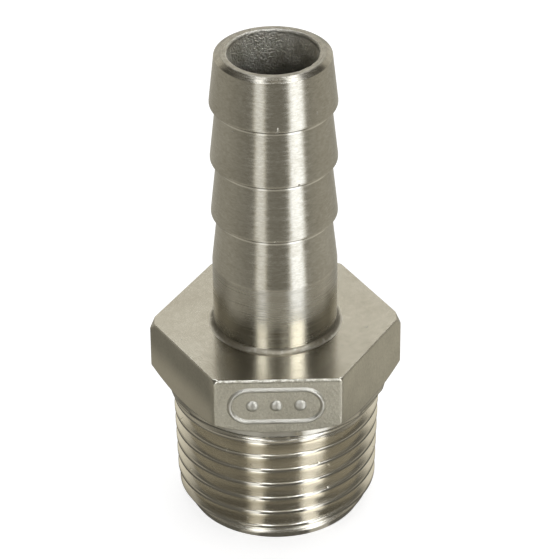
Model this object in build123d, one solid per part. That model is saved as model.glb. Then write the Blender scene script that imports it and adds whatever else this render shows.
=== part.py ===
from build123d import *
import math
import os

# Male hose tail with a taper pipe thread, cast and turned in one piece.
# Millimetres. The axis is Z, the threaded end stands on z = 0 and the hose
# end points up. One flat of the hexagon faces -Y.

# Whole fitting
total_length = 52.0

# Taper pipe thread, 1/2 size: 14 threads per inch, 55 degree form, 1 in 16
thread_pitch = 25.4 / 14
thread_gauge_diameter = 20.955
thread_gauge_length = 9.4
thread_taper = 1 / 16
thread_flank_angle = 27.5
thread_end_face_diameter = 17.96
thread_end_angle = 30.0
thread_vanish_length = 1.7
# Height of one crest on the -Y side, which fixes where the helix starts
thread_crest_height = 5.88

# Collar between the last thread and the hexagon
collar_inset = 0.15
collar_height = 0.4

# Spanner hexagon
across_flats = 22.2
hex_bottom = 14.15
hex_top = 21.1
hex_edge_radius = 0.2
hex_shoulder_diameter = 22.5
hex_shoulder_height = 0.65
hex_under_angle = 29.0
hex_top_land_diameter = 24.6
hex_top_angle = 58.0

# Stem and barbs
stem_diameter = 12.58
stem_fillet = 0.45
barb_crest_diameter = 12.7
barb_pitch = 6.2
barb_tip_length = 5.5
barb_count = 3
barb_slope = 6.1
last_cone_length = 5.56
rim_land_diameter = 10.3
rim_chamfer_height = 0.35

# Bores
tail_bore_diameter = 9.0
thread_bore_diameter = 14.0
thread_bore_depth = 13.0
bore_cone_angle = 45.0
thread_bore_chamfer = 0.5

# Raised oval frame and three round pips on the -Y flat
frame_width = 9.9
frame_height = 4.4
frame_bead = 0.5
frame_offset = -0.22
frame_centre_height = 18.0
relief_height = 0.25
pip_diameter = 1.3
pip_spacing = 2.4
pip_count = 3

# Depth of the 55 degree form when a sixth of its triangle is cut off at
# crest and root, and the flat that this leaves there
form_height = thread_pitch / (2 * math.tan(math.radians(thread_flank_angle)))
thread_depth = form_height * 2 / 3
thread_flat = thread_pitch / 6
# Small lengths by which one solid runs into or past another
overlap = 1.0
groove_overcut = 0.12

crest_cone = math.atan(thread_taper / 2)
collar_radius = across_flats / 2 - collar_inset
collar_bottom = hex_bottom - collar_height


def crest_radius(z):
    return thread_gauge_diameter / 2 + (z - thread_gauge_length) * thread_taper / 2


def root_radius(z):
    return crest_radius(z) - thread_depth


def end_chamfer_height():
    # Height at which the end chamfer meets the crests of the taper thread
    face_radius = thread_end_face_diameter / 2
    run = math.tan(math.radians(thread_end_angle))
    return (crest_radius(0) - face_radius) / (run - thread_taper / 2)


def turned_outline():
    # Outline of everything but the hexagon, from the axis at the threaded
    # end round to the axis at the hose end
    chamfer_top = end_chamfer_height()
    stem = stem_diameter / 2
    neck = stem + stem_fillet
    bend = stem_fillet * (1 - math.sqrt(0.5))
    slope = math.tan(math.radians(barb_slope))
    crest = barb_crest_diameter / 2
    root = crest - slope * barb_pitch
    first_crest = total_length - barb_tip_length
    last_step = first_crest - (barb_count - 1) * barb_pitch
    cone_end = last_step - last_cone_length
    chamfer_foot = total_length - rim_chamfer_height
    points = [
        (0, 0),
        (thread_end_face_diameter / 2, 0),
        (crest_radius(chamfer_top), chamfer_top),
        (crest_radius(collar_bottom), collar_bottom),
        (collar_radius, collar_bottom),
        (collar_radius, hex_bottom + overlap),
        (neck, hex_bottom + overlap),
        (neck, hex_top),
        (stem + bend, hex_top + bend),
        (stem, hex_top + stem_fillet),
        (stem, cone_end),
        (root + slope * last_cone_length, cone_end),
        (root, last_step),
    ]
    for barb in range(barb_count - 1, -1, -1):
        step = first_crest - barb * barb_pitch
        points.append((crest, step))
        if barb > 0:
            points.append((root, step + barb_pitch))
    points.append((crest - slope * (chamfer_foot - first_crest), chamfer_foot))
    points.append((rim_land_diameter / 2, total_length))
    points.append((0, total_length))
    return Plane.XZ * Polygon(*points, align=None)


def hexagon():
    # Prism with rounded upright edges, turned off at a cone above and below.
    # A low shoulder, just wider than the flats, stands under the lower cone.
    apothem = across_flats / 2
    flats = RegularPolygon(apothem, 6, major_radius=False)
    prism = extrude(Pos(0, 0, hex_bottom) * flats, amount=hex_top - hex_bottom)
    prism = fillet(prism.edges().filter_by(Axis.Z), hex_edge_radius)
    reach = 1.02 * apothem / math.cos(math.radians(30))
    land = hex_top_land_diameter / 2
    shoulder = hex_shoulder_diameter / 2
    cone_foot = hex_bottom + hex_shoulder_height
    under = math.tan(math.radians(hex_under_angle)) * (reach - shoulder)
    above = math.tan(math.radians(hex_top_angle)) * (reach - land)
    envelope = revolve(
        Plane.XZ
        * Polygon(
            (0, hex_bottom),
            (shoulder, hex_bottom),
            (shoulder, cone_foot),
            (reach, cone_foot + under),
            (reach, hex_top - above),
            (land, hex_top),
            (0, hex_top),
            align=None,
        ),
        axis=Axis.Z,
    )
    return prism & envelope


def groove_section(start):
    # Trapezoid of the thread form, in the radial plane at the helix's start
    bottom = thread_flat / 2
    mouth = bottom + (thread_depth + groove_overcut) * math.tan(math.radians(thread_flank_angle))
    return Plane.XZ * Polygon(
        (root_radius(start), start - bottom),
        (crest_radius(start) + groove_overcut, start - mouth),
        (crest_radius(start) + groove_overcut, start + mouth),
        (root_radius(start), start + bottom),
        align=None,
    )


def run_out():
    # Cone that rises out of the last groove's bottom and fills it bit by
    # bit, so that the thread fades out before it reaches the collar
    low = collar_bottom - thread_vanish_length
    foot = root_radius(low) - groove_overcut
    return revolve(
        Plane.XZ
        * Polygon(
            (foot - overlap / 2, low),
            (foot, low),
            (crest_radius(collar_bottom), collar_bottom),
            (collar_radius, collar_bottom),
            (collar_radius, hex_bottom),
            (foot - overlap / 2, hex_bottom),
            align=None,
        ),
        axis=Axis.Z,
    )


def cut_thread(blank):
    # Turn by turn up the taper, from below the end face to the collar. Each
    # turn is swept from the end of the one below it, so that they meet.
    start = thread_crest_height - thread_pitch / 4
    start -= thread_pitch * math.ceil((start + thread_pitch / 2) / thread_pitch)
    section = groove_section(start)
    while start < collar_bottom:
        helix = Helix(
            pitch=thread_pitch / math.cos(crest_cone),
            height=thread_pitch,
            radius=crest_radius(start),
            center=(0, 0, start),
            cone_angle=math.degrees(crest_cone),
        )
        turn = sweep(section, path=helix, is_frenet=True)
        blank = blank - turn
        section = turn.faces().sort_by_distance(helix @ 1)[0]
        start += thread_pitch
    return blank + run_out()


def bores():
    # Plain bore from the hose end, wider bore from the threaded end, and a
    # cone between the two inside the hexagon
    small = tail_bore_diameter / 2
    large = thread_bore_diameter / 2
    shoulder = thread_bore_depth + (large - small) / math.tan(math.radians(bore_cone_angle))
    return revolve(
        Plane.XZ
        * Polygon(
            (0, -overlap),
            (large + thread_bore_chamfer + overlap, -overlap),
            (large, thread_bore_chamfer),
            (large, thread_bore_depth),
            (small, shoulder),
            (small, total_length + overlap),
            (0, total_length + overlap),
            align=None,
        ),
        axis=Axis.Z,
    )


def flat_relief():
    # Raised oval bead with a row of round pips inside it
    flat = Plane((0, -across_flats / 2, frame_centre_height), x_dir=(1, 0, 0), z_dir=(0, -1, 0))
    shift = Pos(frame_offset, 0, 0)
    outer = SlotOverall(frame_width, frame_height)
    inner = SlotOverall(frame_width - 2 * frame_bead, frame_height - 2 * frame_bead)
    bead = flat * (shift * (outer - inner))
    pips = [
        flat * (shift * Pos((n - (pip_count - 1) / 2) * pip_spacing, 0) * Circle(pip_diameter / 2))
        for n in range(pip_count)
    ]
    parts = []
    for shape in [bead] + pips:
        parts.append(extrude(shape, amount=relief_height) + extrude(shape, amount=-overlap / 2))
    return parts


body = cut_thread(revolve(turned_outline(), axis=Axis.Z))
body = body + hexagon() - bores()
for piece in flat_relief():
    body = body + piece

hose_barb_tail = body.solid()
hose_barb_tail.label = "hose_barb_tail"
os.makedirs("parts", exist_ok=True)
export_step(hose_barb_tail, "parts/hose_barb_tail.step")
print("hose_barb_tail", round(hose_barb_tail.volume, 1), "mm3", len(hose_barb_tail.faces()), "faces")
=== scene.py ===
import math

import bpy
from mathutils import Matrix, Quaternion, Vector


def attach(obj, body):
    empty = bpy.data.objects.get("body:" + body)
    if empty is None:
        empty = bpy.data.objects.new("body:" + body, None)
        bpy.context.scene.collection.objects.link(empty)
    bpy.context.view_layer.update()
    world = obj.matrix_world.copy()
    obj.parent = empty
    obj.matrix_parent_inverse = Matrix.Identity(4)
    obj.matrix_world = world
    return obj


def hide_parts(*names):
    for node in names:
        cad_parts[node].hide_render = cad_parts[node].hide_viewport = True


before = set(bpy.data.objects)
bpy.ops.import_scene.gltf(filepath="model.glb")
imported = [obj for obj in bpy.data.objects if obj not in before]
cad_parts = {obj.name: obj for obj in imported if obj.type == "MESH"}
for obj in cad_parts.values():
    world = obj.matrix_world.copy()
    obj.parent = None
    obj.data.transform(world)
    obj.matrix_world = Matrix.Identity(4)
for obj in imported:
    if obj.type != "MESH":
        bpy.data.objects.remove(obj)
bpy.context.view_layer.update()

# Stainless hose tail: barbed stem, spanner hexagon and taper pipe thread, with
# a bore through all of it. Sizes are in millimetres, meshes in metres.
mm = 0.001
scene = bpy.context.scene


# Sockets that add and multiply, so that a rule of form reads as a formula
class Wire:
    def __init__(self, tree, socket):
        self.tree = tree
        self.socket = socket

    def calc(self, operation, *others):
        node = self.tree.nodes.new("ShaderNodeMath")
        node.operation = operation
        for slot, value in zip(node.inputs, (self,) + others):
            connect(self.tree, value, slot)
        return Wire(self.tree, node.outputs[0])

    def __add__(self, other):
        return self.calc("ADD", other)

    def __sub__(self, other):
        return self.calc("SUBTRACT", other)

    def __mul__(self, other):
        return self.calc("MULTIPLY", other)

    def __truediv__(self, other):
        return self.calc("DIVIDE", other)

    def inverted(self):
        return self * -1 + 1

    def towards(self, other, share):
        return self + (self * -1 + other) * share


def connect(tree, value, socket):
    if isinstance(value, Wire):
        tree.links.new(value.socket, socket)
    elif isinstance(value, bpy.types.NodeSocket):
        tree.links.new(value, socket)
    elif value is not None:
        socket.default_value = value


def addNode(tree, kind, sockets=None, **settings):
    node = tree.nodes.new(kind)
    for name, value in settings.items():
        setattr(node, name, value)
    for name, value in (sockets or {}).items():
        connect(tree, value, node.inputs[name])
    return node


def combine(tree, x, y, z):
    node = addNode(tree, "ShaderNodeCombineXYZ", {"X": x, "Y": y, "Z": z})
    return Wire(tree, node.outputs[0])


def separate(tree, vector):
    node = addNode(tree, "ShaderNodeSeparateXYZ", {"Vector": vector})
    return [Wire(tree, node.outputs[axis]) for axis in "XYZ"]


def ramp(wire, low, high, toLow=0.0, toHigh=1.0, kind="SMOOTHSTEP"):
    node = addNode(
        wire.tree,
        "ShaderNodeMapRange",
        {"Value": wire, "From Min": low, "From Max": high, "To Min": toLow, "To Max": toHigh},
        interpolation_type=kind,
    )
    return Wire(wire.tree, node.outputs["Result"])


# The same between two sizes in millimetres
def span(wire, ends, toLow=0.0, toHigh=1.0):
    return ramp(wire, ends[0] * mm, ends[1] * mm, toLow, toHigh)


def newSteel(name, look):
    material = bpy.data.materials.new(name)
    material.use_nodes = True
    tree = material.node_tree
    shader = tree.nodes["Principled BSDF"]
    shader.inputs["Metallic"].default_value = look.get("metallic", 1.0)
    shader.inputs["Anisotropic"].default_value = look.get("stretch", 0.0)
    if "stretch" in look:
        shader.inputs["Anisotropic Rotation"].default_value = 0.25
        tangent = addNode(tree, "ShaderNodeTangent", direction_type="RADIAL", axis="Z")
        connect(tree, tangent.outputs[0], shader.inputs["Tangent"])
    return material, tree, shader


# Where on the fitting a shaded point lies
class Place:
    def __init__(self, tree):
        self.vector = addNode(tree, "ShaderNodeTexCoord").outputs["Object"]
        self.x, self.y, self.z = separate(tree, self.vector)
        self.radial = (self.x * self.x + self.y * self.y).calc("SQRT")


def noise(tree, vector, scale, detail=2.0, roughness=0.5, w=None):
    sockets = {"Vector": vector, "Scale": scale, "Detail": detail, "Roughness": roughness}
    if w is not None:
        sockets["W"] = w
    node = addNode(
        tree, "ShaderNodeTexNoise", sockets, noise_dimensions="3D" if w is None else "4D"
    )
    return Wire(tree, node.outputs["Fac"])


def tint(tree, share, dark, light):
    node = addNode(tree, "ShaderNodeMix", data_type="RGBA")
    connect(tree, share, node.inputs[0])
    node.inputs[6].default_value = (*dark, 1)
    node.inputs[7].default_value = (*light, 1)
    return node.outputs[2]


def blend(tree, share, under, over):
    node = addNode(tree, "ShaderNodeMix", data_type="RGBA")
    connect(tree, share, node.inputs[0])
    connect(tree, under, node.inputs[6])
    node.inputs[7].default_value = (*over, 1)
    return node.outputs[2]


def bump(tree, height, depth, under=None):
    sockets = {"Height": height, "Distance": depth, "Strength": 1.0, "Normal": under}
    return addNode(tree, "ShaderNodeBump", sockets).outputs[0]


# Tool marks run round the axis: they change with radius and height, and only
# slowly with the way round
def toolMarks(tree, at, lines, drift=120.0, detail=3.0):
    vector = combine(tree, at.radial * lines, at.z * lines, at.x * drift)
    return noise(tree, vector, 1.0, detail=detail, w=at.y * drift)


# Each tool mark leans a little to one side, which frays the edges of whatever
# the steel mirrors
def frayed(tree, at, normal, lines, lean):
    marks = toolMarks(tree, at, lines, drift=1500.0, detail=2.0)
    swing = (marks - 0.5) * lean / at.radial
    aside = combine(tree, at.y * swing * -1, at.x * swing, 0.0)
    added = addNode(tree, "ShaderNodeVectorMath", operation="ADD")
    connect(tree, normal, added.inputs[0])
    connect(tree, aside, added.inputs[1])
    return addNode(
        tree, "ShaderNodeVectorMath", {0: added.outputs[0]}, operation="NORMALIZE"
    ).outputs[0]


# Knocks from handling: bearing from the front in degrees, radius and height
# in millimetres, then half width, half height and depth
knocks = [
    {"at": (2.6, 6.33, 46.75), "size": (0.10, 0.55), "deep": 0.05},
    {"at": (2.2, 6.31, 46.55), "size": (0.20, 0.10), "deep": 0.09},
    {"at": (41.0, 6.24, 47.75), "size": (0.07, 0.24), "deep": 0.07},
    {"at": (0.4, 6.33, 34.15), "size": (0.22, 0.20), "deep": 0.10},
    {"at": (21.5, 6.33, 40.35), "size": (0.15, 0.22), "deep": 0.08},
    {"at": (-44.0, 5.80, 45.55), "size": (0.12, 0.10), "deep": 0.08},
    {"at": (78.0, 9.4, 21.1), "size": (0.14, 0.14), "deep": 0.10},
    {"at": (52.0, 8.3, 21.1), "size": (0.10, 0.10), "deep": 0.06},
    {"at": (-70.0, 10.2, 21.1), "size": (0.10, 0.10), "deep": 0.05},
]


def knockedHeight(tree, at):
    total = None
    for knock in knocks:
        bearing, r, high = knock["at"]
        turnBy = math.radians(bearing)
        spot = Vector((math.sin(turnBy), -math.cos(turnBy), 0)) * (r * mm)
        wide, tall = (size * mm for size in knock["size"])
        offX = (at.x - spot.x) / wide
        offY = (at.y - spot.y) / wide
        offZ = (at.z - high * mm) / tall
        reach = (offX * offX + offY * offY + offZ * offZ).calc("SQRT")
        pit = ramp(reach, 1.0, 0.0, 0.0, knock["deep"])
        total = pit if total is None else total + pit
    return total * -1


# Dark brown of real scorch and of a duller band on the stem, also used for the darker sides of the
# stem and for painted shade under the barbs, on the front left flat and down the bore
scorchAndShadeColour = (0.12, 0.11, 0.09)
turnedLook = {
    "dark": (0.43, 0.4, 0.328),
    "light": (0.61, 0.585, 0.512),
    # rim and fillet are colours of painted shade, root is the colour of a painted reflection
    "rim": (0.30, 0.28, 0.235),
    "fillet": (0.26, 0.23, 0.17),
    "root": (0.86, 0.83, 0.74),
    "roughness": (0.15, 0.26),
    "topRoughness": 0.19,
    "stretch": 0.4,
    "clouds": 180.0,
    "specks": 1500.0,
    "satin": 6500.0,
    "lines": 5200.0,
    "depth": 0.0000036,
    "landDepth": 0.00005,
    "fray": 6000.0,
    "lean": 0.015,
    "lowestBarb": 34.1,
    "barbPitch": 6.2,
}
# Where each finish, painted shade and painted reflection begins and where it is full, in
# millimetres: heights, radii, distances to the side, and for the barbs the way down from the step
zones = {
    "satin": (28.6, 27.6),
    "stem": (6.75, 6.45),
    "scorchAndShadeSides": (2.6, 4.0),
    "scorchAndShade": (23.6, 21.5),
    "scorchAndShadeFoot": (22.6, 21.7),
    "dullAndPaintedShade": (28.5, 28.3),
    "dullEnd": (24.0, 25.0),
    "sidesDarkerHeights": (28.4, 23.0),
    "sidesDarkerReach": (4.6, 6.2),
    "brushed": (28.6, 28.1),
    "rim": (51.60, 51.72),
    "land": (51.9, 51.96),
    "topFace": (21.3, 21.15),
    "aboveFlats": (20.9, 21.0),
    "fillet": (21.6, 21.5),
    "filletReach": (6.86, 6.76),
    "filletSides": (4.4, 6.4),
    "castFoot": (14.12, 14.2),
    "castHead": (14.9, 14.8),
    "castFront": (9.2, 9.8),
    "castSide": (2.2, 0.9),
    "neck": (6.25, 6.15),
    "gap": (0.47, 0.39),
    "gapSides": (2.0, 4.8),
    "root": (0.41, 0.48),
    "rootEnd": (0.66, 0.60),
}


def turnedSteel():
    look = turnedLook
    material, tree, shader = newSteel("turnedSteel", look)
    at = Place(tree)
    marks = toolMarks(tree, at, look["lines"])
    clouds = noise(tree, at.vector, look["clouds"], detail=4.0)
    specks = noise(tree, at.vector, look["specks"], detail=3.0)
    satin = toolMarks(tree, at, look["satin"], drift=2500.0, detail=2.0)
    satinShare = span(at.z, zones["satin"], 1.3, 0.5)
    shadeOf = clouds + (specks - 0.5) * 0.6 + (satin - 0.5) * satinShare
    colour = tint(tree, shadeOf, look["dark"], look["light"])
    # painted shade and real scorch darken the foot of the stem on both sides; above it the stem is
    # duller and a little darker in a band, and darker towards both sides
    offMiddle = at.x.calc("ABSOLUTE")
    onStem = span(at.radial, zones["stem"])
    nearStem = onStem * span(offMiddle, zones["scorchAndShadeSides"])
    scorchAndShade = span(at.z, zones["scorchAndShade"]) * nearStem * ramp(clouds + specks, 0.75, 1.15)
    scorchAndShadeFoot = span(at.z, zones["scorchAndShadeFoot"]) * nearStem * ramp(specks, 0.3, 0.45)
    scorchAndShade = scorchAndShade.calc("MAXIMUM", scorchAndShadeFoot)
    dullAndPaintedShade = span(at.z, zones["dullAndPaintedShade"]) * span(at.z, zones["dullEnd"])
    stemSidesDarker = span(at.z, zones["sidesDarkerHeights"]) * span(offMiddle, zones["sidesDarkerReach"]) * onStem
    # rim, its land, the hexagon's top and the fillet between it and the stem
    rim = span(at.z, zones["rim"])
    land = span(at.z, zones["land"])
    aboveFlats = span(at.z, zones["aboveFlats"])
    topFace = span(at.z, zones["topFace"]) * aboveFlats
    fillet = span(at.z, zones["fillet"]) * aboveFlats * span(at.radial, zones["filletReach"])
    fillet = fillet * ramp(specks, 0.36, 0.56, 0.45, 1.0)
    # the part of the low shoulder that stayed as cast
    asCast = span(at.z, zones["castFoot"]) * span(at.z, zones["castHead"])
    asCast = asCast * span(at.y * -1, zones["castFront"]) * span(at.x, zones["castSide"])
    # painted shadow in the gap under each barb, and a painted reflection on the pale root below it
    under = (at.z * -1 + look["lowestBarb"] * mm).calc("FLOORED_MODULO", look["barbPitch"] * mm)
    onNeck = span(at.radial, zones["neck"])
    gap = span(under, zones["gap"]) * span(offMiddle, zones["gapSides"], 0.8, 0.2)
    root = span(under, zones["root"]) * span(under, zones["rootEnd"])

    # painted shade in the fillet at the stem's foot, strongest at front and back
    paintedFilletShade = fillet * span(offMiddle, zones["filletSides"], 0.75, 0.2)
    colour = blend(tree, scorchAndShade * 0.7, colour, scorchAndShadeColour)
    # painted shade on the rim's chamfer
    colour = blend(tree, rim * ramp(specks, 0.3, 0.7, 0.55, 1.0), colour, look["rim"])
    colour = blend(tree, paintedFilletShade, colour, look["fillet"])
    colour = blend(tree, dullAndPaintedShade * 0.15 + stemSidesDarker * 0.4, colour, scorchAndShadeColour)
    # painted shadow under each barb, then painted reflection on the root below it
    colour = blend(tree, gap * onNeck, colour, scorchAndShadeColour)
    colour = blend(tree, root * onNeck * 0.55, colour, look["root"])
    connect(tree, colour, shader.inputs["Base Color"])

    rough = ramp(marks, 0.3, 0.7, *look["roughness"])
    rough = rough.towards(look["topRoughness"], topFace * 0.9)
    rough = rough + land * 0.1 + fillet * 0.25 + scorchAndShade * 0.1 + asCast * 0.28 + dullAndPaintedShade * 0.05
    connect(tree, rough, shader.inputs["Roughness"])

    # tool marks fade on the hexagon's top, the rim and the foot of the stem
    brushed = span(at.z, zones["brushed"]) * (topFace * -0.95 + 0.95)
    marked = topFace.inverted() - rim * 0.7 - brushed
    lines = bump(tree, marks, marked * look["depth"])
    rimGrain = bump(tree, specks, land * look["landDepth"], under=lines)
    pitted = bump(tree, knockedHeight(tree, at), 1 * mm, under=rimGrain)
    normal = frayed(tree, at, pitted, look["fray"], marked * look["lean"])
    connect(tree, normal, shader.inputs["Normal"])
    return material


screwLook = {
    "dark": (0.61, 0.57, 0.475),
    "light": (0.74, 0.7, 0.605),
    "crestRoughness": 0.17,
    "roughness": (0.14, 0.20),
    "stretch": 0.3,
    "clouds": 260.0,
    "nicks": 1300.0,
    "nickDepth": 16,
    "lines": 4800.0,
    "depth": 0.0000008,
    "lean": 0.025,
    "metallic": 0.92,
    # the thread's gauge plane, in millimetres, and its taper
    "gaugeHeight": 9.4,
    "gaugeRadius": 10.4775,
    "taper": 32,
    "belowCrest": (0.012, 0.05),
    "startChamfer": (1.9, 1.3),
}


def screwSteel():
    look = screwLook
    material, tree, shader = newSteel("screwSteel", look)
    at = Place(tree)
    marks = toolMarks(tree, at, look["lines"])
    clouds = noise(tree, at.vector, look["clouds"], detail=5.0)
    nicks = ramp(noise(tree, at.vector, look["nicks"], detail=1.0), 0.72, 0.80)
    connect(tree, tint(tree, clouds, look["dark"], look["light"]), shader.inputs["Base Color"])
    # the crests keep the polish of the turned blank
    crest = (at.z - look["gaugeHeight"] * mm) / look["taper"] + look["gaugeRadius"] * mm
    below = span(crest - at.radial, look["belowCrest"])
    flank = ramp(marks, 0.3, 0.7, *look["roughness"])
    rough = (flank * -1 + look["crestRoughness"]) * below.inverted() + flank
    rough = rough + span(at.z, look["startChamfer"], 0.0, 0.1)
    connect(tree, rough, shader.inputs["Roughness"])
    lines = bump(tree, marks - nicks * look["nickDepth"], look["depth"])
    normal = frayed(tree, at, lines, look["lines"], look["lean"])
    connect(tree, normal, shader.inputs["Normal"])
    return material


# Ground side flats, and the flat on -Y left as it came out of the mould.
# The zones are in millimetres.
flatLook = {
    "dark": (0.425, 0.398, 0.32),
    "light": (0.645, 0.612, 0.505),
    "wornEdgeAndHighlightColour": (0.82, 0.79, 0.7),
    "paintedReflectionColour": (0.86, 0.8, 0.66),
    "groundRoughness": 0.36,
    "castRoughness": 0.43,
    "clouds": 420.0,
    "grain": 3400.0,
    "satin": 3800.0,
    "chips": 2300.0,
    "grainDepth": 0.00009,
    "cast": (10.84, 10.96),
    "upperEdge": (20.7, 20.95),
    "left": (-6.3, -7.0),
    "leftFront": (1.0, 0.0),
    "dullAndPaintedShade": (15.8, 19.5),
    "paintedFloorReflection": (19.0, 16.0),
}


def flatSteel():
    look = flatLook
    material, tree, shader = newSteel("flatSteel", look)
    at = Place(tree)
    cast = span(at.y * -1, look["cast"])
    clouds = noise(tree, at.vector, look["clouds"], detail=5.0)
    grain = noise(tree, at.vector, look["grain"], detail=3.0, roughness=0.6)
    satin = noise(tree, at.vector, look["satin"], detail=3.0, roughness=0.6)
    colour = tint(tree, clouds + (satin - 0.5) * 1.2, look["dark"], look["light"])
    rough = ramp(cast, 0.0, 1.0, look["groundRoughness"], look["castRoughness"], "LINEAR")
    connect(tree, rough + (clouds - 0.5) * 0.12, shader.inputs["Roughness"])
    # painted shade darkens the flat on the front left above, and a painted reflection of the pale
    # bench lightens it below
    onLeft = span(at.x, look["left"]) * span(at.y, look["leftFront"])
    colour = blend(tree, span(at.z, look["dullAndPaintedShade"]) * onLeft * 0.33, colour, scorchAndShadeColour)
    colour = blend(tree, span(at.z, look["paintedFloorReflection"]) * onLeft * 0.6, colour, look["paintedReflectionColour"])
    # the ragged upper edge of the cast flat is lighter in chips: partly worn metal, partly painted
    # highlight
    brokenEdge = span(at.z, look["upperEdge"]) * cast
    chips = noise(tree, at.vector, look["chips"], detail=2.0)
    colour = blend(tree, brokenEdge * ramp(chips, 0.42, 0.58), colour, look["wornEdgeAndHighlightColour"])
    connect(tree, colour, shader.inputs["Base Color"])
    height = grain * cast + satin * 0.12 + chips * brokenEdge * 1.6
    connect(tree, bump(tree, height, look["grainDepth"]), shader.inputs["Normal"])
    return material


boreLook = {
    "dark": (0.88, 0.84, 0.74),
    "light": (1.0, 0.97, 0.88),
    "roughness": (0.42, 0.52),
    "clouds": 700.0,
    "grain": 4900.0,
    "grainDetail": 0.6,
    "depth": 0.000105,
    # painted shade darkens the bore further down, on its right and under the rim, and the right
    # side is smoother; all in millimetres
    "paintedShadeDown": (50.2, 45.6),
    "paintedShadeRight": (-1.0, 4.0),
    "paintedShadeUnderRim": (51.45, 51.7),
    "mostPaintedShade": 0.94,
    "smoothRight": (-1.0, 2.5),
}
reliefLook = {
    "dark": (0.5, 0.48, 0.42),
    "light": (0.62, 0.6, 0.53),
    "roughness": (0.34, 0.46),
    "clouds": 900.0,
    "grain": 3800.0,
    "grainDetail": 2.0,
    "depth": 0.00004,
}


def castSteel(name, look):
    material, tree, shader = newSteel(name, look)
    at = Place(tree)
    clouds = noise(tree, at.vector, look["clouds"], detail=5.0)
    grain = noise(tree, at.vector, look["grain"], detail=look["grainDetail"], roughness=0.6)
    colour = tint(tree, clouds, look["dark"], look["light"])
    if "mostPaintedShade" in look:
        # painted shade down the bore, on its right and under the rim
        paintedBoreShade = span(at.z, look["paintedShadeDown"], 0.0, 0.92) + span(at.x, look["paintedShadeRight"], 0.0, 0.3)
        paintedBoreShade = paintedBoreShade + span(at.z, look["paintedShadeUnderRim"], 0.0, 0.4)
        colour = blend(tree, paintedBoreShade.calc("MINIMUM", look["mostPaintedShade"]), colour, scorchAndShadeColour)
        grain = (grain - 0.5) * span(at.x, look["smoothRight"], 1.0, 0.45)
    connect(tree, colour, shader.inputs["Base Color"])
    connect(tree, ramp(clouds, 0.3, 0.7, *look["roughness"]), shader.inputs["Roughness"])
    connect(tree, bump(tree, grain, look["depth"]), shader.inputs["Normal"])
    return material


turned = turnedSteel()
screw = screwSteel()
flat = flatSteel()
bore = castSteel("boreSteel", boreLook)
relief = castSteel("reliefSteel", reliefLook)
print("materials made")


def newTree(name, sizes):
    tree = bpy.data.node_groups.new(name, "GeometryNodeTree")
    kinds = {int: "NodeSocketInt", float: "NodeSocketFloat"}
    tree.interface.new_socket("Geometry", in_out="INPUT", socket_type="NodeSocketGeometry")
    for label, value in sizes.items():
        kind = kinds.get(type(value), "NodeSocketMaterial")
        tree.interface.new_socket(label, in_out="INPUT", socket_type=kind)
    tree.interface.new_socket("Geometry", in_out="OUTPUT", socket_type="NodeSocketGeometry")
    entry = tree.nodes.new("NodeGroupInput")
    result = tree.nodes.new("NodeGroupOutput")
    given = {label: Wire(tree, entry.outputs[label]) for label in sizes}
    given["Geometry"] = Wire(tree, entry.outputs["Geometry"])
    return tree, given, result


def growPiece(name, tree, mesh, sizes):
    holder = bpy.data.objects.new(name + "Start", mesh)
    scene.collection.objects.link(holder)
    modifier = holder.modifiers.new(name, "NODES")
    modifier.node_group = tree
    for item in tree.interface.items_tree:
        if item.in_out == "INPUT" and item.name in sizes:
            modifier[item.identifier] = sizes[item.name]
    shaped = holder.evaluated_get(bpy.context.evaluated_depsgraph_get())
    piece = bpy.data.objects.new(name, bpy.data.meshes.new_from_object(shaped))
    bpy.data.objects.remove(holder)
    scene.collection.objects.link(piece)
    print(name, len(piece.data.vertices), "points", len(piece.data.polygons), "faces")
    return piece


fitting = {
    "length": 52.0,
    "stemRadius": 6.29,
    "fillet": 0.45,
    "barbRadius": 6.35,
    "barbPitch": 6.2,
    "tipLength": 5.5,
    "barbs": 3,
    "barbSlope": 6.1,
    "crestLand": 0.22,
    "rootNeck": 0.62,
    "lastCone": 5.56,
    "rimRadius": 5.15,
    "rimChamfer": 0.35,
    "boreRadius": 4.5,
    "burrReach": 0.26,
    "wideBoreRadius": 7.0,
    "wideBoreDepth": 13.0,
    "boreChamfer": 0.5,
    "collarRadius": 10.95,
    "collarBottom": 13.75,
    "edgeBreak": 0.07,
}
hexagon = {
    "Corner Softness": 0.2,
    "Hex Bottom": 14.15,
    "Hex Top": 21.1,
    "Shoulder": 11.17,
    "Shoulder Height": 0.62,
    "Shoulder Drift": 0.12,
    "Under Slope": 29.0,
    "Top Slope": 58.0,
    "Top Land": 12.3,
    "Land Drift": 0.3,
    "Cast Wobble": 0.035,
    "Edge Wobble": 0.14,
    "Edge Sag": 0.02,
    "Rim Burr": 0.22,
}
# Each flat's direction and distance from the axis. The casting's flats were
# ground by hand: those beside the back corners lie a degree off true.
flats = [
    (0.0, 11.1),
    (59.6, 11.055),
    (119.1, 11.199),
    (180.0, 11.1),
    (-120.9, 10.998),
    (-60.0, 11.1),
]
thread = {
    "Pitch": 25.4 / 14,
    "Gauge Radius": 20.955 / 2,
    "Gauge Height": 9.4,
    "Taper": 1 / 32,
    "Face Radius": 8.98,
    "End Slope": 30.0,
    "Crest Height": 5.88,
    "Vanish Length": 1.7,
    "Vanish Sink": 0.12,
    "Thread Turns": 9,
    "Turns Below": 4,
}
flankAngle = math.radians(27.5)
threadDepth = thread["Pitch"] / math.tan(flankAngle) / 3
crestHalf = thread["Pitch"] / 12


def crestRadius(z):
    return thread["Gauge Radius"] + (z - thread["Gauge Height"]) * thread["Taper"]


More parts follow.
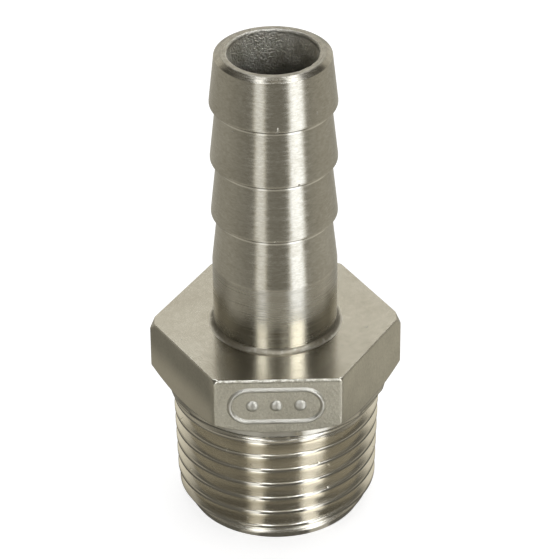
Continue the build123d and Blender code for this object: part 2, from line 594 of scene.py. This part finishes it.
# Walks along a line of corners and rounds each by its own radius. A short
# step before and after a corner keeps the long faces beside it flat.
def roundCorners(corners, guard=0.035):
    rows = []
    for n, (r, z, radius, steps) in enumerate(corners):
        here = Vector((r, z))
        if radius == 0 or n in (0, len(corners) - 1):
            rows.append(here)
            continue
        back = (Vector(corners[n - 1][:2]) - here).normalized()
        ahead = (Vector(corners[n + 1][:2]) - here).normalized()
        half = back.angle(ahead) / 2
        cut = radius / math.tan(half)
        centre = here + (back + ahead).normalized() * (radius / math.sin(half))
        first = here + back * cut - centre
        last = here + ahead * cut - centre
        rows.append(here + back * (cut + guard))
        for step in range(steps + 1):
            swing = math.sin((1 - step / steps) * first.angle(last))
            other = math.sin(step / steps * first.angle(last))
            rows.append(centre + (first * swing + last * other) / math.sin(first.angle(last)))
        rows.append(here + ahead * (cut + guard))
    return rows


# One entry for each ring: radius and height, how far the hexagon bends it
# towards the flats (reach, inset, climb, rise, lift), and what else is done
# to it further on
shapeKeys = ("reach", "inset", "climb", "rise", "lift")
ringKeys = shapeKeys + ("onHex", "hexWall", "cavity", "edge", "burr")


def fittingRings():
    f = fitting
    rings = []

    def plain(corners, **marks):
        for r, z in roundCorners(corners):
            rings.append({"r": r, "z": z, **marks})

    def bent(r, inset, rise, reach=0.0, lift=0.0, hexWall=0.0, climb=1.0, edge=0.0):
        rings.append(
            {
                "r": r,
                "z": hexagon["Hex Bottom"],
                "reach": reach,
                "inset": inset,
                "climb": climb,
                "rise": rise,
                "lift": lift,
                "onHex": 1.0,
                "hexWall": hexWall,
                "edge": edge,
            }
        )

    collar = f["collarRadius"]
    low = f["collarBottom"]
    soft = f["edgeBreak"]
    shoulder = hexagon["Shoulder"]
    land = hexagon["Top Land"]
    plain(
        [
            (crestRadius(low), low, 0, 0),
            (collar, low, soft, 3),
            (collar, hexagon["Hex Bottom"], 0, 0),
        ]
    )
    # low shoulder under the hexagon, then the lower cone out to the flats
    bent(shoulder - 0.12, 0.20, 0.0, climb=0.0)
    bent(shoulder - 0.06, 0.16, 0.0, climb=0.0)
    bent(shoulder - 0.015, 0.11, 0.0, climb=0.0, lift=0.02)
    bent(shoulder, 0.09, 0.0, climb=0.0, lift=0.06)
    bent(shoulder, 0.085, 0.0, climb=0.0, lift=0.1)
    bent(shoulder, 0.08, 0.0, climb=0.5, lift=0.03)
    bent(shoulder, 0.075, 0.0, lift=-0.04)
    bent(shoulder, 0.07, 0.0, reach=0.03, edge=1.0)
    bent(shoulder, 0.065, 0.0, reach=0.1, edge=1.0)
    bent(shoulder, 0.055, 0.0, reach=0.5, edge=1.0)
    bent(shoulder, 0.05, 0.0, reach=1.0, lift=0.002, edge=1.0)
    bent(shoulder, 0.02, 0.0, reach=1.0, lift=0.02, hexWall=1.0)
    bent(shoulder, 0.0, 0.0, reach=1.0, lift=0.07, hexWall=1.0)
    bent(shoulder, 0.0, 0.0, reach=1.0, lift=0.12, hexWall=1.0)
    wallSteps = 14
    for step in range(1, wallSteps):
        bent(shoulder, 0.0, step / wallSteps, reach=1.0, hexWall=1.0)
    bent(shoulder, 0.0, 1.0, reach=1.0, lift=-0.24, hexWall=1.0)
    bent(shoulder, 0.0, 1.0, reach=1.0, lift=-0.16, hexWall=1.0)
    bent(shoulder, 0.03, 1.0, reach=1.0, lift=-0.075, hexWall=1.0)
    bent(shoulder, 0.085, 1.0, reach=1.0, lift=-0.022, edge=1.0)
    bent(shoulder, 0.14, 1.0, reach=1.0, edge=1.0)
    bent(land, 0.16, 1.0, reach=0.5)
    bent(land, 0.18, 1.0, reach=0.12)
    bent(land - 0.03, 0.2, 1.0)
    bent(land - 0.12, 0.24, 1.0)
    bent(land - 0.25, 0.34, 1.0)
    # stem with its fillet, the barbs, the rim, and back down inside
    slope = math.tan(math.radians(f["barbSlope"]))
    root = f["barbRadius"] - slope * f["barbPitch"]
    first = f["length"] - f["tipLength"]
    lowest = first - (f["barbs"] - 1) * f["barbPitch"]
    coneEnd = lowest - f["lastCone"]
    neck = root + slope * f["rootNeck"]
    corners = [
        (10.4, hexagon["Hex Top"], 0, 0),
        (f["stemRadius"], hexagon["Hex Top"], f["fillet"], 8),
        (f["stemRadius"], coneEnd, 0.8, 2),
    ]
    for barb in range(f["barbs"] - 1, -1, -1):
        step = first - barb * f["barbPitch"]
        corners.append((neck, step - f["rootNeck"], 0.1, 2))
        corners.append((neck, step, 0.3, 5))
        worn = f["barbRadius"] - slope * f["crestLand"]
        corners.append((worn, step, 0.05, 3))
        corners.append((worn, step + f["crestLand"], 0.03, 1))
    foot = f["length"] - f["rimChamfer"]
    corners += [
        (f["barbRadius"] - slope * (foot - first), foot, 0.05, 3),
        (f["rimRadius"], f["length"], 0.06, 3),
        (f["boreRadius"], f["length"], 0.2, 4),
    ]
    narrow = f["boreRadius"]
    wide = f["wideBoreRadius"]
    inner = [(narrow, f["length"] - deep, 0, 0) for deep in (0.4, 0.5, 0.8, 2.0, 12.0, 24.0)]
    inner += [
        (narrow, f["wideBoreDepth"] + wide - narrow, 0.3, 2),
        (wide, f["wideBoreDepth"], 0.3, 2),
        (wide, 6.0, 0, 0),
        (wide, f["boreChamfer"], 0.1, 2),
        (wide + f["boreChamfer"], 0, 0, 0),
    ]
    plain(corners + [inner[0]])
    # the rim's inner edge is ragged, and the last of it belongs to the bore
    for ring in rings:
        if ring["z"] > foot and ring["r"] < narrow + f["burrReach"]:
            ring["burr"] = 1.0
            if ring["r"] < narrow + f["burrReach"] / 2:
                ring["cavity"] = 1.0
    plain(inner, cavity=1.0)
    face = thread["Face Radius"]
    plain([(wide + f["boreChamfer"] + 0.03, 0, 0, 0), (face - 0.04, 0, 0, 0), (face, 0, 0, 0)])
    return rings


# The thread's own form over one turn, from groove to groove: distance along
# the axis from the middle of the crest, and depth below it
def threadForm():
    slant = math.tan(flankAngle)
    groove = crestHalf + threadDepth * slant
    under = [(crestHalf - 0.05, 0.0), (crestHalf + 0.005, 0.008), (crestHalf + 0.038, 0.06)]
    upper = [(crestHalf - 0.03, 0.0), (crestHalf - 0.008, 0.002), (crestHalf + 0.01, 0.014)]
    rest = [
        (crestHalf + 0.14 * slant, 0.14),
        (crestHalf + 0.5 * threadDepth * slant, 0.5 * threadDepth),
        (groove - 0.06 * slant, threadDepth - 0.06),
        (groove + 0.04, threadDepth),
    ]
    half = thread["Pitch"] / 2
    down = [(-half, threadDepth)] + [(-along, deep) for along, deep in reversed(under + rest)]
    return down + upper + rest + [(half, threadDepth)]


def ringMesh(rings, form):
    mesh = bpy.data.meshes.new("fittingRings")
    points = [(ring["r"] * mm, 0, ring["z"] * mm) for ring in rings]
    points += [(deep * mm, 0, along * mm) for along, deep in form]
    mesh.from_pydata(points, [], [])
    for key in ringKeys:
        attribute = mesh.attributes.new(key, "FLOAT", "POINT")
        scale = mm if key in ("inset", "lift") else 1
        values = [ring.get(key, 0.0) * scale for ring in rings] + [0.0] * len(form)
        attribute.data.foreach_set("value", values)
    return mesh


# Spins the rings round the axis, bends those of the hexagon to six flats, and
# winds the thread's form up the taper between the end face and the collar
def fittingTree(sizes):
    tree, given, result = newTree("turnFitting", sizes)
    store = given["Geometry"]
    radians = math.pi / 180
    total = Wire(
        tree, addNode(tree, "GeometryNodeAttributeDomainSize", {"Geometry": store}).outputs[0]
    )
    wound = given["Thread Rows"]
    columns = given["Columns"]

    def spread(rows, turns):
        grid = addNode(
            tree,
            "GeometryNodeMeshGrid",
            {"Vertices X": columns * turns + 1, "Vertices Y": rows},
        )
        index = Wire(tree, addNode(tree, "GeometryNodeInputIndex").outputs[0])
        column = ((index + 0.5) / rows).calc("FLOOR")
        row = index - column * rows
        sector = column / columns * 6
        angle = sector * 60 + (sector * (2 * math.pi)).calc("SINE") * given["Corner Crowding"]
        return grid.outputs["Mesh"], row, angle

    def sampled(key, row):
        if key == "Position":
            source = addNode(tree, "GeometryNodeInputPosition").outputs[0]
            kind = "FLOAT_VECTOR"
        else:
            kind = "FLOAT"
            source = addNode(
                tree, "GeometryNodeInputNamedAttribute", {"Name": key}, data_type=kind
            ).outputs["Attribute"]
        node = addNode(tree, "GeometryNodeSampleIndex", data_type=kind, domain="POINT")
        connect(tree, store, node.inputs["Geometry"])
        connect(tree, source, node.inputs["Value"])
        connect(tree, row, node.inputs["Index"])
        return Wire(tree, node.outputs["Value"])

    def placed(mesh, radius, angle, height, marks):
        turnBy = angle * radians
        spot = combine(
            tree, radius * turnBy.calc("SINE"), radius * turnBy.calc("COSINE") * -1, height
        )
        for key, value in marks.items():
            node = addNode(
                tree,
                "GeometryNodeStoreNamedAttribute",
                {"Geometry": mesh, "Name": key, "Value": value},
                data_type="FLOAT",
                domain="POINT",
            )
            mesh = node.outputs[0]
        return addNode(
            tree, "GeometryNodeSetPosition", {"Geometry": mesh, "Position": spot}
        ).outputs[0]

    # turned rings and hexagon
    mesh, row, angle = spread(total - wound, 1)
    ringR, _, ringZ = separate(tree, sampled("Position", row))
    ahead = (angle * radians).calc("COSINE")
    aside = (angle * radians).calc("SINE")
    flatR = None
    softness = given["Corner Softness"] * mm
    for n in range(len(flats)):
        facing = (angle - given[f"Flat {n} Turn"]) * radians
        side = given[f"Flat {n} Distance"] * mm / facing.calc("COSINE").calc("MAXIMUM", 0.3)
        flatR = side if flatR is None else flatR.calc("SMOOTH_MIN", side, softness)
    # the shoulder was turned a little off the hexagon's own centre, and the
    # upper cone a little towards the back
    rise = sampled("rise", row)
    drift = aside * given["Shoulder Drift"] * mm
    ringR = ringR + drift * sampled("onHex", row) * rise.inverted()
    radius = ringR.towards(flatR, sampled("reach", row)).calc(
        "MINIMUM", flatR - sampled("inset", row)
    )
    overShoulder = (radius - given["Shoulder"] * mm - drift).calc("MAXIMUM", 0.0)
    land = given["Top Land"] * mm + ahead.calc("MAXIMUM", 0.0) * given["Land Drift"] * mm
    overLand = (radius - land).calc("MAXIMUM", 0.0)
    underSlope = (given["Under Slope"] * radians).calc("TANGENT")
    topSlope = (given["Top Slope"] * radians).calc("TANGENT")
    foot = given["Hex Bottom"] * mm + overShoulder * underSlope
    foot = foot + sampled("climb", row) * given["Shoulder Height"] * mm
    head = given["Hex Top"] * mm - overLand * topSlope
    hexZ = foot.towards(head, rise) + sampled("lift", row)
    # the mould's flat is a little uneven, and so is its upper edge
    fromFront = angle.calc("PINGPONG", 180.0)
    front = ramp(fromFront, 29.6, 27.5)
    wall = sampled("hexWall", row).calc("MAXIMUM", sampled("edge", row) * front)
    across = combine(tree, aside * 20, hexZ * 900, 0.0)
    uneven = (noise(tree, across, 1.0, detail=3.0) - 0.5) * front * wall
    inside = ramp(fromFront, 29.5, 24.0)
    edge = (noise(tree, combine(tree, angle * 0.9, 4.0, 0.0), 1.0, detail=4.0) - 0.5) * inside
    nearTop = span(hexZ, (20.6, 21.05)) * wall
    worn = edge * nearTop * (given["Edge Wobble"] * mm)
    sag = nearTop * front * (given["Edge Sag"] * mm)
    height = ringZ.towards(hexZ + worn - sag, sampled("onHex", row))
    radius = radius + uneven * (given["Cast Wobble"] * mm)
    bite = noise(tree, combine(tree, aside * 5, ahead * 5, 9.0), 1.0, detail=4.0) - 0.5
    radius = radius + bite * sampled("burr", row) * (given["Rim Burr"] * mm)
    marks = {"hexWall": wall, "cavity": sampled("cavity", row), "screw": 0.0}
    body = placed(mesh, radius, angle, height, marks)

    # thread
    mesh, row, angle = spread(wound, given["Thread Turns"])
    depth, _, along = separate(tree, sampled("Position", row + (total - wound)))
    pitch = given["Pitch"] * mm
    top = given["Collar Bottom"] * mm
    start = given["Crest Height"] * mm - pitch * given["Turns Below"]
    height = (start + pitch * angle / 360 + along).calc("MAXIMUM", 0.0).calc("MINIMUM", top)

    def crestAt(z):
        return given["Gauge Radius"] * mm + (z - given["Gauge Height"] * mm) * given["Taper"]

    vanish = given["Vanish Length"] * mm
    low = top - vanish
    sunk = crestAt(low) - given["Thread Depth"] * mm - given["Vanish Sink"] * mm
    runOut = sunk + (crestAt(top) - sunk) * (height - low) / vanish
    chamfer = given["Face Radius"] * mm + height * (given["End Slope"] * radians).calc("TANGENT")
    radius = (crestAt(height) - depth).calc("MAXIMUM", runOut).calc("MINIMUM", chamfer)
    marks = {"hexWall": 0.0, "cavity": 0.0, "screw": 1.0}
    winding = placed(mesh, radius, angle, height, marks)

    joined = addNode(tree, "GeometryNodeJoinGeometry")
    for part in (winding, body):
        tree.links.new(part, joined.inputs[0])
    shape = addNode(
        tree, "GeometryNodeMergeByDistance", {"Geometry": joined.outputs[0], "Distance": 2e-6}
    ).outputs[0]
    shape = addNode(tree, "GeometryNodeSetShadeSmooth", {"Geometry": shape}).outputs[0]
    shape = addNode(tree, "GeometryNodeRealizeInstances", {"Geometry": shape}).outputs[0]
    finishes = (
        (None, "Turned"),
        ("hexWall", "Flats"),
        ("cavity", "Bore"),
        ("screw", "Screw"),
    )
    for key, label in finishes:
        sockets = {"Geometry": shape, "Material": given[label]}
        if key:
            mark = addNode(
                tree, "GeometryNodeInputNamedAttribute", {"Name": key}, data_type="FLOAT"
            ).outputs["Attribute"]
            sockets["Selection"] = Wire(tree, mark).calc("GREATER_THAN", 0.6)
        shape = addNode(tree, "GeometryNodeSetMaterial", sockets).outputs[0]
    tree.links.new(shape, result.inputs[0])
    return tree


form = threadForm()
fittingSizes = {
    "Columns": 330,
    "Corner Crowding": 7.0,
    "Thread Rows": len(form),
    "Thread Depth": threadDepth,
    "Collar Bottom": fitting["collarBottom"],
    "Turned": turned,
    "Flats": flat,
    "Bore": bore,
    "Screw": screw,
    **hexagon,
    **thread,
}
for n, (turn, distance) in enumerate(flats):
    fittingSizes[f"Flat {n} Turn"] = turn
    fittingSizes[f"Flat {n} Distance"] = distance
tree = fittingTree(fittingSizes)
hoseTail = growPiece("hoseTail", tree, ringMesh(fittingRings(), form), fittingSizes)


# Raised oval frame with three pips in it
mark = {
    "Frame Width": 9.9,
    "Frame Height": 4.4,
    "Bead Width": 0.6,
    "Bead Height": 0.25,
    "Bead Sunk": 0.05,
    "Pip Diameter": 1.3,
    "Pip Spacing": 2.4,
    "Pip Count": 3,
    "Sideways": -0.22,
    "Middle Height": 18.0,
    "Flat": 11.1,
}
pipSpread = 0.577  # radius of a ball that is as wide as its pip at the flat


# Middle line of the frame's bead
def frameLine(tree, width, height):
    line = addNode(
        tree, "GeometryNodeCurvePrimitiveQuadrilateral", {"Width": width, "Height": height}
    ).outputs[0]
    line = addNode(
        tree,
        "GeometryNodeFilletCurve",
        {"Curve": line, "Count": 24, "Radius": height * 0.4999},
        mode="POLY",
    ).outputs[0]
    return addNode(tree, "GeometryNodeResampleCurve", {"Curve": line, "Count": 180}).outputs[0]


def markTree(sizes):
    tree, given, result = newTree("castMark", sizes)
    bead = given["Bead Width"] * mm
    outline = frameLine(tree, given["Frame Width"] * mm - bead, given["Frame Height"] * mm - bead)
    section = addNode(
        tree, "GeometryNodeCurvePrimitiveCircle", {"Resolution": 28, "Radius": bead}
    ).outputs[0]
    lie = addNode(tree, "GeometryNodeSetPosition", {"Geometry": section})
    x, y, z = separate(tree, addNode(tree, "GeometryNodeInputPosition").outputs[0])
    # a rounded hill whose feet run out just under the flat
    sunk = given["Bead Sunk"] * mm
    hill = (x / bead * math.pi).calc("COSINE") * 0.5 + 0.5
    hill = hill * (given["Bead Height"] + given["Bead Sunk"]) * mm - sunk
    under = (y.calc("MAXIMUM", 0.0) * 0.5 + sunk) * -1
    rise = under.towards(hill, y.calc("LESS_THAN", 0.001 * mm))
    connect(tree, combine(tree, x * 0.65, rise * -1, z), lie.inputs["Position"])
    ring = addNode(
        tree,
        "GeometryNodeCurveToMesh",
        {"Curve": outline, "Profile Curve": lie.outputs[0]},
    ).outputs[0]
    # each pip is the top of a flattened ball
    ball = addNode(
        tree,
        "GeometryNodeMeshUVSphere",
        {"Segments": 40, "Rings": 20, "Radius": given["Pip Diameter"] * (mm * pipSpread)},
    ).outputs[0]
    dome = addNode(tree, "GeometryNodeSetPosition", {"Geometry": ball})
    x, y, z = separate(tree, addNode(tree, "GeometryNodeInputPosition").outputs[0])
    flatten = given["Bead Height"] * 2 / (given["Pip Diameter"] * pipSpread)
    capped = z * flatten - given["Bead Height"] * mm
    connect(tree, combine(tree, x, y, capped), dome.inputs["Position"])
    row = addNode(tree, "GeometryNodeMeshLine", {"Count": given["Pip Count"]})
    connect(tree, combine(tree, given["Pip Spacing"] * mm, 0.0, 0.0), row.inputs["Offset"])
    half = (given["Pip Count"] - 1) * given["Pip Spacing"] * (-0.5 * mm)
    connect(tree, combine(tree, half, 0.0, 0.0), row.inputs["Start Location"])
    pips = addNode(
        tree,
        "GeometryNodeInstanceOnPoints",
        {"Points": row.outputs[0], "Instance": dome.outputs[0]},
    ).outputs[0]
    joined = addNode(tree, "GeometryNodeJoinGeometry")
    for part in (pips, ring):
        tree.links.new(part, joined.inputs[0])
    place = addNode(
        tree,
        "GeometryNodeTransform",
        {"Geometry": joined.outputs[0], "Rotation": (math.pi / 2, 0, 0)},
    )
    spot = combine(
        tree, given["Sideways"] * mm, given["Flat"] * -mm, given["Middle Height"] * mm
    )
    connect(tree, spot, place.inputs["Translation"])
    shape = addNode(tree, "GeometryNodeSetShadeSmooth", {"Geometry": place.outputs[0]}).outputs[0]
    shape = addNode(tree, "GeometryNodeRealizeInstances", {"Geometry": shape}).outputs[0]
    shape = addNode(
        tree, "GeometryNodeSetMaterial", {"Geometry": shape, "Material": given["Finish"]}
    ).outputs[0]
    tree.links.new(shape, result.inputs[0])
    return tree


markSizes = {"Finish": relief, **mark}
empty = bpy.data.meshes.new("markStart")
castMark = growPiece("castMark", markTree(markSizes), empty, markSizes)

for piece in (hoseTail, castMark):
    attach(piece, "root")
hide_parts("hose_barb_tail")
print("pieces made")


# Soft boxes that the steel mirrors. Azimuth is counted from the front (-Y)
# towards +X, elevation from the horizon, both in degrees. A box whose level
# has two numbers brightens from the floor up. The bar across one of them
# keeps the hexagon's top from going white when it is seen from behind.
softBoxes = [
    {"from": -35, "to": -17, "low": -62, "high": 50, "blur": 4, "level": (0.85, 3.2)},
    {
        "from": 27,
        "to": 53,
        "low": -62,
        "high": 50,
        "blur": 5,
        "level": (1.65, 5.4),
        "bar": (6, 23),
    },
    {"from": 62, "to": 130, "low": -70, "high": 10, "blur": 14, "level": (0.07, 0.07)},
    {"from": 126, "to": 224, "low": 6, "high": 39, "blur": 10, "level": (0.48, 0.48)},
    # pale bench in front, seen by whatever stands upright, dark at the back left
    {"from": -95, "to": 105, "low": -85, "high": -27, "blur": 12, "level": (0.12, 0.12)},
    {"from": -24, "to": 24, "low": -85, "high": -36, "blur": 10, "level": (0.41, 0.41)},
    {"from": 96, "to": 128, "low": -85, "high": -30, "blur": 10, "level": (0.15, 0.15)},
    {"from": -158, "to": -100, "low": -85, "high": -34, "blur": 10, "level": (-0.27, -0.27)},
]
# Boxes above, from left to right, placed by x over z
overheadBoxes = [
    {"from": -0.24, "to": -0.135, "blur": 0.02, "level": 4.0},
    {"from": -0.08, "to": 0.14, "blur": 0.03, "level": 0.26},
    {"from": 0.205, "to": 0.35, "blur": 0.03, "level": 4.7},
    {"from": -0.55, "to": 0.65, "blur": 0.1, "level": 0.12},
]
# Levels of the bare tent, and the azimuths and elevations between which they
# pass into each other
tent = {
    "radius": 0.8,
    "front": 0.26,
    "side": 0.42,
    "back": 0.50,
    "zenith": 0.11,
    "darkest": 0.02,
    "frontToSide": (30.0, 110.0),
    "sideToBack": (110.0, 180.0),
    "frontDims": (-12.0, 14.0),
    "dimUpTo": (60.0, 110.0),
    "boxesBrighten": (-16.0, 18.0),
    "overhead": (37.0, 46.0),
    "warm": (1.0, 0.965, 0.86),
    "plain": (0.965, 1.0, 1.065),
    "warmToPlain": (0.8, 1.4),
}
# The fitting's own shade on the bench, as the thread mirrors it between the
# reflections of the two tall boxes; radii in millimetres, gaps in degrees
shade = {
    "radius": 60.0,
    "fade": (29.0, 21.0),
    "gaps": [(-27, -14, 2), (21, 36, 2)],
    "level": 0.12,
}


def window(wire, low, high, blur):
    return ramp(wire, low - blur, low + blur) * ramp(wire, high + blur, high - blur)


def emptyMaterial(name):
    material = bpy.data.materials.new(name)
    material.use_nodes = True
    material.node_tree.nodes.clear()
    return material, material.node_tree


def tentMaterial():
    material, tree = emptyMaterial("studioTent")
    x, y, z = separate(tree, addNode(tree, "ShaderNodeTexCoord").outputs["Object"])
    radians = math.pi / 180
    azimuth = x.calc("ARCTAN2", y * -1) / radians
    elevation = (z / tent["radius"]).calc("ARCSINE") / radians
    around = azimuth.calc("ABSOLUTE")
    level = ramp(around, *tent["frontToSide"], tent["front"], tent["side"])
    level = level + ramp(around, *tent["sideToBack"], 0.0, tent["back"] - tent["side"])
    # the front is half as bright above the horizon
    dimmed = ramp(elevation, *tent["frontDims"], 0.0, -0.5)
    level = level * dimmed.towards(0.0, ramp(around, *tent["dimUpTo"])) + level
    for box in softBoxes:
        bearing = azimuth
        if box["to"] > 180:
            bearing = azimuth + azimuth.calc("LESS_THAN", 0.0) * 360
        lit = window(bearing, box["from"], box["to"], box["blur"])
        lit = lit * window(elevation, box["low"], box["high"], 5)
        if "bar" in box:
            lit = lit * (window(elevation, *box["bar"], 3) * -0.85 + 1)
        level = level + lit * ramp(elevation, *tent["boxesBrighten"], *box["level"])
    sky = z * 0 + tent["zenith"]
    for box in overheadBoxes:
        sky = sky + window(x / z, box["from"], box["to"], box["blur"]) * box["level"]
    level = level.towards(sky, ramp(elevation, *tent["overhead"]))
    level = level.calc("MAXIMUM", tent["darkest"])
    colour = tint(tree, ramp(level, *tent["warmToPlain"]), tent["warm"], tent["plain"])
    glow = addNode(tree, "ShaderNodeEmission", {"Color": colour, "Strength": level})
    addNode(tree, "ShaderNodeOutputMaterial", {"Surface": glow.outputs[0]})
    return material


def shadeMaterial():
    material, tree = emptyMaterial("floorShade")
    at = Place(tree)
    azimuth = at.x.calc("ARCTAN2", at.y * -1) * (180 / math.pi)
    cover = span(at.radial, shade["fade"])
    for gap in shade["gaps"]:
        cover = cover * window(azimuth, *gap).inverted()
    dim = addNode(
        tree, "ShaderNodeEmission", {"Color": (*tent["warm"], 1), "Strength": shade["level"]}
    )
    clear = addNode(tree, "ShaderNodeBsdfTransparent")
    both = addNode(tree, "ShaderNodeMixShader", {"Fac": cover})
    tree.links.new(clear.outputs[0], both.inputs[1])
    tree.links.new(dim.outputs[0], both.inputs[2])
    addNode(tree, "ShaderNodeOutputMaterial", {"Surface": both.outputs[0]})
    return material


def hideFrom(obj, *rays):
    for kind in rays:
        setattr(obj, "visible_" + kind, False)


# Both are seen in the steel and nowhere else
mirroredOnly = ("camera", "diffuse", "transmission", "volume_scatter", "shadow")

bpy.ops.mesh.primitive_uv_sphere_add(segments=96, ring_count=48, radius=tent["radius"])
dome = bpy.context.object
dome.name = "studioTent"
dome.data.materials.append(tentMaterial())
for face in dome.data.polygons:
    face.use_smooth = True
hideFrom(dome, *mirroredOnly)

bpy.ops.mesh.primitive_circle_add(
    vertices=96, radius=shade["radius"] * mm, fill_type="NGON", location=(0, 0, -0.0002)
)
shadeDisc = bpy.context.object
shadeDisc.name = "floorShade"
shadeDisc.data.materials.append(shadeMaterial())
hideFrom(shadeDisc, *mirroredOnly)


# 1 for rays that look at a surface, and 0 for those that only light it
def lookedAt(tree):
    path = addNode(tree, "ShaderNodeLightPath")
    camera, glossy, through = (
        Wire(tree, path.outputs[f"Is {kind} Ray"]) for kind in ("Camera", "Glossy", "Transmission")
    )
    return camera.calc("MAXIMUM", glossy).calc("MAXIMUM", through)


# Pale floor: white to the camera, with the fitting's soft shadow on it
def floorMaterial():
    material, tree = emptyMaterial("paleFloor")
    glow = addNode(tree, "ShaderNodeEmission", {"Strength": lookedAt(tree) * 0.8})
    matt = addNode(tree, "ShaderNodeBsdfDiffuse", {"Color": (0.5, 0.5, 0.5, 1)})
    both = addNode(tree, "ShaderNodeAddShader")
    tree.links.new(glow.outputs[0], both.inputs[0])
    tree.links.new(matt.outputs[0], both.inputs[1])
    addNode(tree, "ShaderNodeOutputMaterial", {"Surface": both.outputs[0]})
    return material


bpy.ops.mesh.primitive_plane_add(size=3.0)
floor = bpy.context.object
floor.name = "paleFloor"
floor.data.materials.append(floorMaterial())
hideFrom(floor, "glossy")

world = bpy.data.worlds.new("paleRoom")
scene.world = world
world.use_nodes = True
backdrop = world.node_tree.nodes["Background"]
backdrop.inputs["Color"].default_value = (1, 1, 1, 1)
brightness = ramp(lookedAt(world.node_tree), 0.0, 1.0, 0.3, 1.0, "LINEAR")
connect(world.node_tree, brightness, backdrop.inputs["Strength"])


def softLamp(name, place, size, power):
    lamp = bpy.data.lights.new(name, "AREA")
    lamp.size = size
    lamp.energy = power
    lamp.color = (1.0, 0.99, 0.97)
    holder = bpy.data.objects.new(name, lamp)
    scene.collection.objects.link(holder)
    holder.location = place
    down = Vector((0, 0, 0.02)) - Vector(place)
    holder.rotation_euler = down.to_track_quat("-Z", "Y").to_euler()
    hideFrom(holder, "glossy")


softLamp("overheadLamp", (0.05, 0.1, 0.7), 0.5, 2.2)
print("studio made")


# Camera of the photograph: angles in degrees, lengths in millimetres, the
# rest in pixels of the frame
lens = {
    "azimuth": -1.18,
    "elevation": 32.283,
    "distance": 308.846,
    "aim": 29.72,
    "focalPixels": 3078.453,
    "framePixels": 560,
    "centreX": 274.757,
    "centreY": 246.51,
    "roll": -0.515,
}


def placeCamera():
    data = bpy.data.cameras.new("studioCamera")
    camera = bpy.data.objects.new("studioCamera", data)
    scene.collection.objects.link(camera)
    a = math.radians(lens["azimuth"])
    e = math.radians(lens["elevation"])
    back = Vector((math.sin(a) * math.cos(e), -math.cos(a) * math.cos(e), math.sin(e)))
    aim = Vector((0, 0, lens["aim"] * mm))
    camera.location = aim + back * lens["distance"] * mm
    turnBy = Quaternion((0, 0, 1), math.radians(lens["roll"]))
    camera.rotation_mode = "QUATERNION"
    camera.rotation_quaternion = (-back).to_track_quat("-Z", "Y") @ turnBy
    frameSize = lens["framePixels"]
    data.sensor_width = 36.0
    data.lens = lens["focalPixels"] / frameSize * data.sensor_width
    data.shift_x = (frameSize / 2 - lens["centreX"]) / frameSize
    data.shift_y = (lens["centreY"] - frameSize / 2) / frameSize
    data.clip_start = 0.01
    data.clip_end = 10
    scene.camera = camera


placeCamera()
scene.view_settings.view_transform = "Standard"
